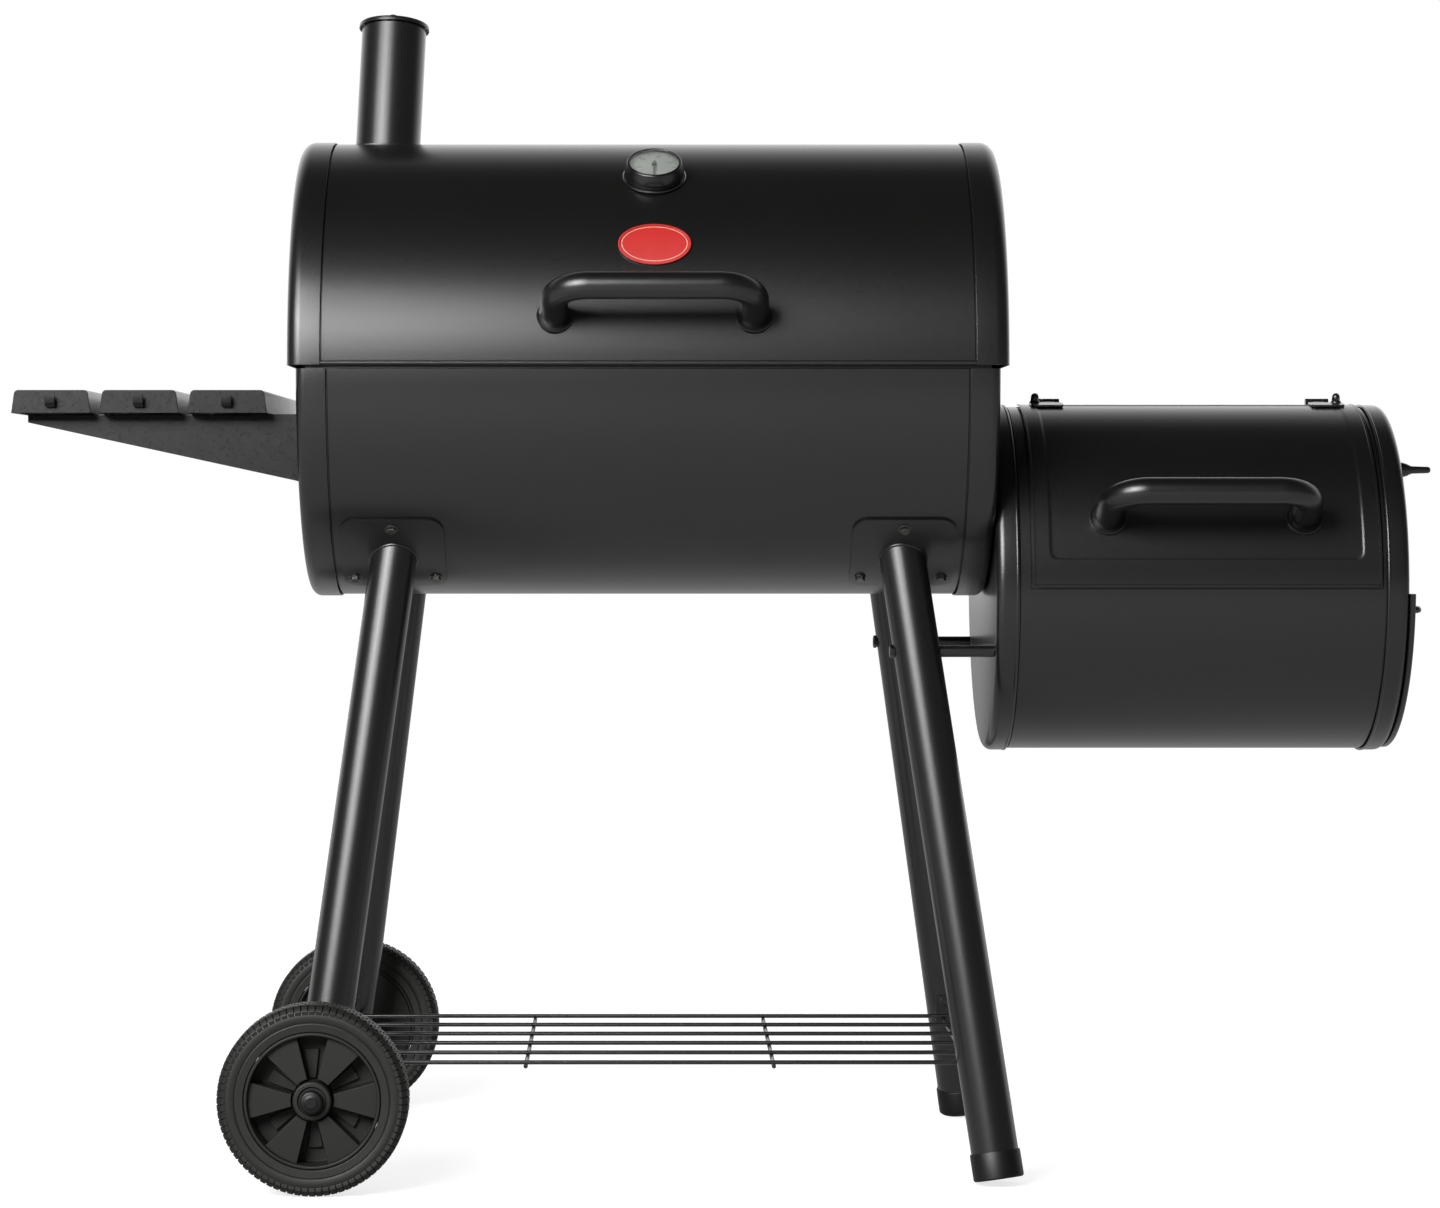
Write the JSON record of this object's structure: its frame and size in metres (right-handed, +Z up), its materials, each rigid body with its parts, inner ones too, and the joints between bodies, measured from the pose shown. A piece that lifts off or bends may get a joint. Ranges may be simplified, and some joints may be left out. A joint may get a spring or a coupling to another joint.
{
  "type": "offset smoker",
  "caption": "Charcoal barrel grill with hinged lid and chimney, an offset firebox with door and ash drawer, a slatted side shelf, splayed tube legs, wheels and a wire shelf.",
  "frame": {"origin": "middle of the footprint of the bounding box, on the ground", "axes": "+X along the barrel towards the firebox, -Y to the front with the handles, +Z up"},
  "size_m": [1.3664, 0.6026, 1.1375],
  "materials": {
    "black_paint": "satin black powder coat",
    "handle_paint": "semi-matt black heat-proof paint",
    "cast_iron": "bare seasoned cast iron",
    "steel_sheet": "plain rolled steel",
    "chrome": "polished chrome",
    "zinc_plate": "zinc plated steel",
    "dial_white": "silver white dial",
    "clear_glass": "clear glass",
    "needle_red": "painted pointer",
    "plate_red": "satin red enamel",
    "black_plastic": "moulded black plastic",
    "wheel_plastic": "dark grey moulded plastic",
    "tyre_black": "hard rubber with a treaded edge"
  },
  "bodies": {
    "stand": {"barrel_skin": "black_paint", "barrel_end_left": "black_paint", "barrel_end_right": "black_paint", "barrel_hinge_leaf_left": "black_paint", "barrel_hinge_leaf_right": "black_paint", "cooking_grate_1": "cast_iron", "cooking_grate_2": "cast_iron", "cooking_grate_3": "cast_iron", "cooking_grate_4": "cast_iron", "charcoal_grate": "steel_sheet", "firebox_skin": "black_paint", "firebox_end_left": "black_paint", "firebox_end_right": "black_paint", "firebox_grate": "cast_iron", "firebox_hinge_leaf_left": "black_paint", "firebox_hinge_leaf_right": "black_paint", "leg_front_left": "black_paint", "leg_front_right": "black_paint", "leg_rear_left": "black_paint", "leg_rear_right": "black_paint", "foot_cap_front": "black_plastic", "foot_cap_rear": "black_plastic", "brace_front": "black_paint", "brace_rear": "black_paint", "axle": "zinc_plate", "axle_spacer_front": "zinc_plate", "axle_spacer_rear": "zinc_plate", "axle_cap_front": "black_plastic", "axle_cap_rear": "black_plastic", "shelf_bracket_front": "black_paint", "shelf_bracket_rear": "black_paint", "shelf_slat_1": "black_paint", "shelf_slat_2": "black_paint", "shelf_slat_3": "black_paint", "wire_shelf": "black_paint"},
    "lid": {"lid_skin": "black_paint", "lid_end_left": "black_paint", "lid_end_right": "black_paint", "lid_hinge_leaf_left": "black_paint", "lid_hinge_leaf_right": "black_paint", "lid_handle": "handle_paint", "thermometer_case": "chrome", "thermometer_dial": "dial_white", "thermometer_lens": "clear_glass", "badge_plate": "plate_red", "chimney_tube": "black_paint", "chimney_flange": "black_paint", "chimney_cap_screw": "black_paint"},
    "needle": {"thermometer_needle": "needle_red"},
    "chimney_cover": {"chimney_cap": "black_paint"},
    "door": {"firebox_door": "black_paint", "firebox_door_handle": "handle_paint", "door_hinge_leaf_left": "black_paint", "door_hinge_leaf_right": "black_paint"},
    "drawer": {"ash_drawer": "black_paint"},
    "damper": {"air_damper": "black_paint"},
    "wheel_front": {"tyre_front": "tyre_black", "wheel_rim_front": "wheel_plastic"},
    "wheel_rear": {"tyre_rear": "tyre_black", "wheel_rim_rear": "wheel_plastic"}
  },
  "joints": [
    {"name": "lid_hinge", "type": "hinge", "parent": "stand", "child": "lid", "pos_m": [-0.07982, 0.23408, 0.77501], "axis": [-1, 0, 0], "range_deg": [0, 95]},
    {"name": "needle_turn", "type": "hinge", "parent": "lid", "child": "needle", "pos_m": [-0.07382, -0.1396, 0.96715], "axis": [0, 0.5878, -0.809], "range_deg": [0, 270]},
    {"name": "chimney_cap_swivel", "type": "hinge", "parent": "lid", "child": "chimney_cover", "pos_m": [-0.33713, 0.04577, 1.12787], "axis": [0.0384, 0.1992, 0.9792], "range_deg": [0, 120]},
    {"name": "door_hinge", "type": "hinge", "parent": "stand", "child": "door", "pos_m": [0.45458, 0.012, 0.74401], "axis": [-1, 0, 0], "range_deg": [0, 110]},
    {"name": "drawer_slide", "type": "slide", "parent": "stand", "child": "drawer", "axis": [1, 0, 0], "range_m": [0, 0.3]},
    {"name": "damper_turn", "type": "hinge", "parent": "stand", "child": "damper", "pos_m": [0.64878, -0.075, 0.64401], "axis": [1, 0, 0], "range_deg": [0, 60]},
    {"name": "wheel_front_roll", "type": "hinge", "parent": "stand", "child": "wheel_front", "pos_m": [-0.39132, -0.272, 0.08901], "axis": [0, 1, 0], "continuous": true},
    {"name": "wheel_rear_roll", "type": "hinge", "parent": "stand", "child": "wheel_rear", "pos_m": [-0.39132, 0.272, 0.08901], "axis": [0, 1, 0], "continuous": true}
  ]
}
